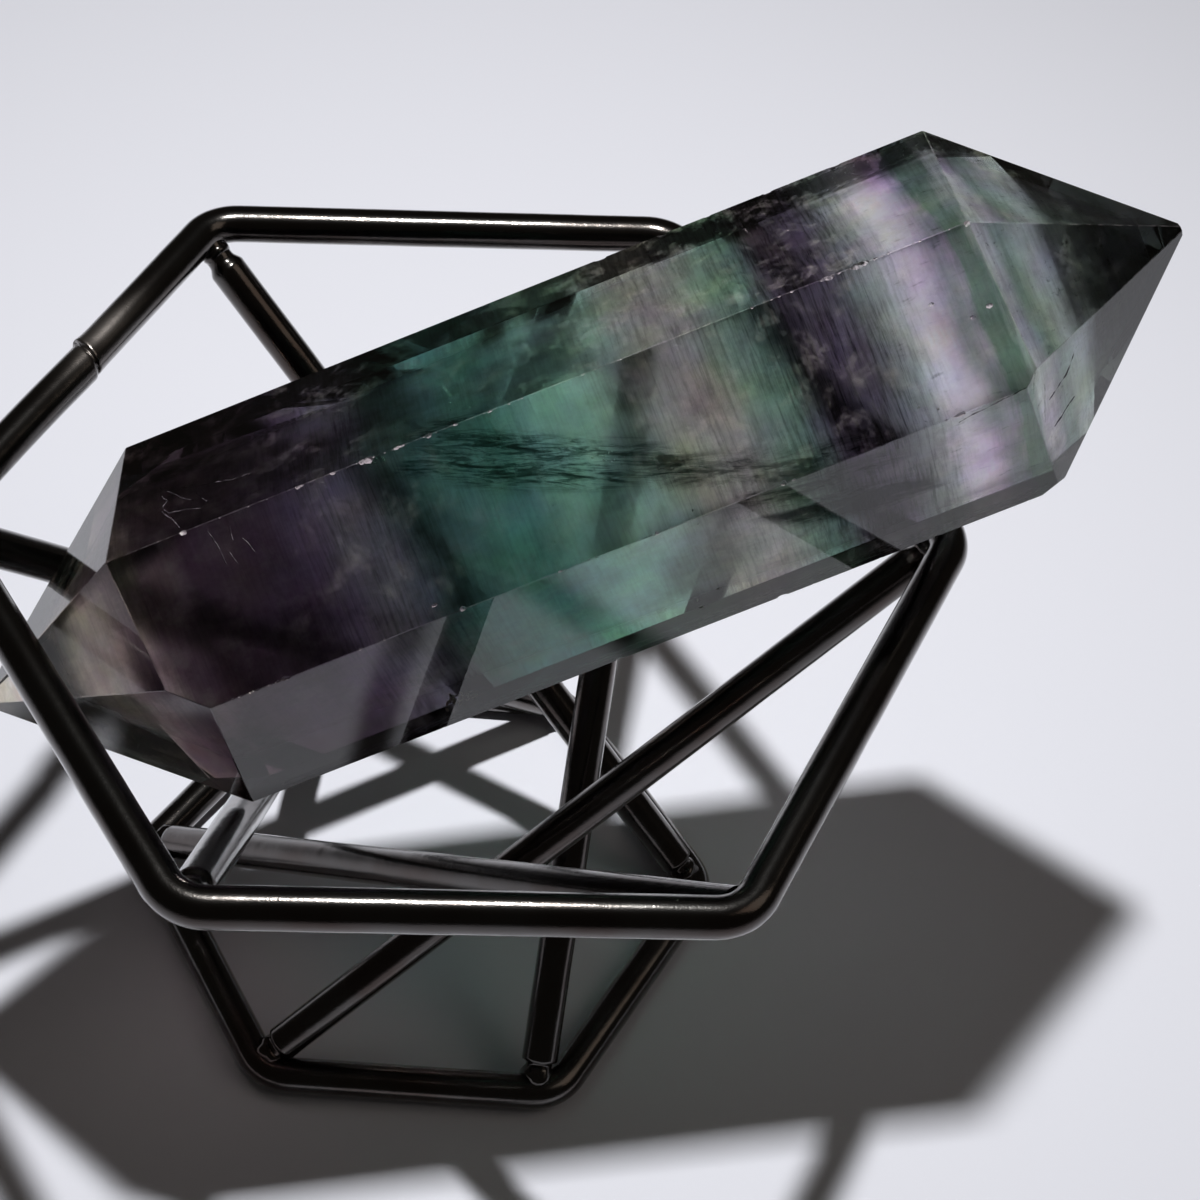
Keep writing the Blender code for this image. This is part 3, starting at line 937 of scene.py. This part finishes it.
def fade_to_outline(mesh, corners, side):
    """Keep only the part of a sheet inside an outline, with its reach fading to the outline. Each corner is a
    place along the crystal's axis and one across it, on the side whose normal lies at that angle."""
    across = Vector((math.sin(math.radians(side)), -math.cos(math.radians(side)), 0))
    outline = [Vector((sideways, along)) for along, sideways in corners]
    builder = bmesh.new()
    builder.from_mesh(mesh)
    builder.transform(object_metres().inverted())
    reach = builder.verts.layers.float["reach"]
    outside = []
    for vert in builder.verts:
        point = Vector((across.dot(vert.co), vert.co.z))
        inside = False
        nearest = math.inf
        for index, corner in enumerate(outline):
            before = outline[index - 1]
            if (corner.y > point.y) != (before.y > point.y):
                crossing = corner.x + (point.y - corner.y) * (before.x - corner.x) / (before.y - corner.y)
                if point.x < crossing:
                    inside = not inside
            _, share = intersect_point_line(point, before, corner)
            nearest = min(nearest, (before.lerp(corner, min(max(share, 0.0), 1.0)) - point).length)
        vert[reach] = min(nearest / FILM_FADE, 1.0) if inside else 0.0
        if not inside and nearest > FILM_MARGIN:
            outside.append(vert)
    bmesh.ops.delete(builder, geom=outside, context="VERTS")
    builder.transform(object_metres())
    builder.to_mesh(mesh)
    builder.free()


def thread_tree():
    """Fine threads along lines: they wander, and swell and thin about every 0.4 mm. Sizes are in metres."""
    tree, given = start_tree("fine threads", (
        ("Thickness", "Float", 0.0001), ("Spacing", "Float", 0.00016), ("Wander", "Float", 0.0004),
        ("Wander size", "Float", 0.0012), ("Swelling scale", "Float", 2600.0), ("Seed", "Float", 0.0)))
    line = add(tree, "GeometryNodeMeshToCurve", {}, {"Mesh": given["Geometry"]})
    even = add(tree, "GeometryNodeResampleCurve", {"mode": "LENGTH"},
               {"Curve": line, "Length": given["Spacing"]})
    place = add(tree, "GeometryNodeInputPosition", {}, {})
    inverse = calculate(tree, "DIVIDE", 1.0, given["Wander size"])
    drift = add(tree, "ShaderNodeTexNoise", {"noise_dimensions": "4D"},
                {"Vector": place, "W": given["Seed"], "Scale": inverse, "Detail": 4.0}).outputs["Color"]
    centred = add(tree, "ShaderNodeVectorMath", {"operation": "SUBTRACT"}, {0: drift, 1: (0.5, 0.5, 0.5)})
    shift = add(tree, "ShaderNodeVectorMath", {"operation": "SCALE"}, {0: centred, "Scale": given["Wander"]})
    wandering = add(tree, "GeometryNodeSetPosition", {}, {"Geometry": even, "Offset": shift})
    swelling = add(tree, "ShaderNodeTexNoise", {"noise_dimensions": "4D"},
                   {"Vector": place, "W": given["Seed"], "Scale": given["Swelling scale"], "Detail": 2.0})
    thick = remap(tree, swelling, (0.38, 0.62), (0.2, 1.6))
    section = add(tree, "GeometryNodeCurvePrimitiveCircle", {"mode": "RADIUS"},
                  {"Resolution": 6, "Radius": given["Thickness"]})
    thread = add(tree, "GeometryNodeCurveToMesh", {},
                 {"Curve": wandering, "Profile Curve": section, "Scale": thick, "Fill Caps": True})
    end_tree(tree, given, thread)
    return tree


def fleck_tree():
    """A flat broken fleck on every point of a mesh, each at its own size and turn."""
    tree, given = start_tree("cleavage flecks", (("Size", "Float", 0.0001), ("Seed", "Int", 0)))
    lump = add(tree, "GeometryNodeMeshIcoSphere", {}, {"Radius": given["Size"], "Subdivisions": 2})
    flat = add(tree, "GeometryNodeTransform", {}, {"Geometry": lump, "Scale": (1.0, 0.7, 0.3)})
    turn = add(tree, "FunctionNodeRandomValue", {"data_type": "FLOAT_VECTOR"},
               {0: (0.0, 0.0, 0.0), 1: (math.tau, math.tau, math.tau), "Seed": given["Seed"]})
    grow = add(tree, "FunctionNodeRandomValue", {"data_type": "FLOAT"},
               {2: 0.3, 3: 1.2, "Seed": given["Seed"]}).outputs[1]
    spread = add(tree, "GeometryNodeInstanceOnPoints", {},
                 {"Points": given["Geometry"], "Instance": flat, "Rotation": turn, "Scale": grow})
    end_tree(tree, given, spread)
    return tree


def build_threads():
    tree = thread_tree()
    place = crystal_matrix()
    healed = fleck_material("healed threads in fluorite", "#1E1A20", "#655E68")
    sets = (("healed_threads", THREADS, THREAD_RADIUS, THREAD_WANDER, healed),
            ("hairline_cracks", HAIRLINES, HAIRLINE_RADIUS, HAIRLINE_WANDER, hairline_material()))
    for name, lines, radius, wander, finish in sets:
        start = line_mesh(name, [[place @ Vector(point) for point in line] for line in lines], False)
        sizes = {"Thickness": radius * MILLIMETRE, "Wander": wander * MILLIMETRE, "Seed": 3.0}
        keep_in_crystal(name, grow_mesh(name, start, tree, sizes, finish), finish)


def build_flecks(walls):
    tree = fleck_tree()
    place = crystal_matrix()
    white = fleck_material("white cleavage flecks", "#C9C4CC", "#FFFFFF")
    rusty = fleck_material("iron-stained inclusions", "#5E4F3A", "#D8CBAE")
    chance = random.Random(11)
    for name, groups, finish in (("cleavage_flecks", FLECK_GROUPS, white),
                                 ("yellow_inclusions", INCLUSION_GROUPS, rusty)):
        meshes = []
        for number, (centre, spread, count, size) in enumerate(groups):
            points = []
            while len(points) < count:
                offset = Vector(chance.gauss(0, 0.5) * reach for reach in spread)
                point = Vector(centre) + offset
                if all(normal.dot(point) < distance - FLECK_MARGIN * size for normal, distance in walls):
                    points.append(place @ point * MILLIMETRE)
            start = bpy.data.meshes.new(name)
            start.from_pydata(points, (), ())
            meshes.append(grow_mesh(name, start, tree, {"Size": size * MILLIMETRE, "Seed": number}, finish))
        builder = bmesh.new()
        for mesh in meshes:
            builder.from_mesh(mesh)
        builder.to_mesh(meshes[0])
        builder.free()
        keep_in_crystal(name, meshes[0], finish)


def build_crystal():
    solid = crystal_solid()
    walls = [(face.normal.copy(), face.normal.dot(face.verts[0].co)) for face in solid.faces]
    wear = solid.faces.layers.float.new("wear")
    ground = bmesh.ops.bevel(solid, geom=solid.edges[:], offset=EDGE_WEAR, segments=1, affect="EDGES",
                             clamp_overlap=True)
    for face in ground["faces"]:
        face[wear] = GROUND_WEAR
    mesh = bpy.data.meshes.new("fluorite_crystal")
    solid.to_mesh(mesh)
    solid.free()
    mesh = cut_chips(mesh)
    mesh.transform(object_metres())
    piece = keep_in_crystal("fluorite_crystal", mesh, fluorite_material())
    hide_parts("fluorite_point")
    build_veil(walls)
    build_films(walls)
    build_threads()
    build_flecks(walls)


def main():
    set_camera()
    set_floor()
    set_light()
    build_stand()
    build_crystal()


main()
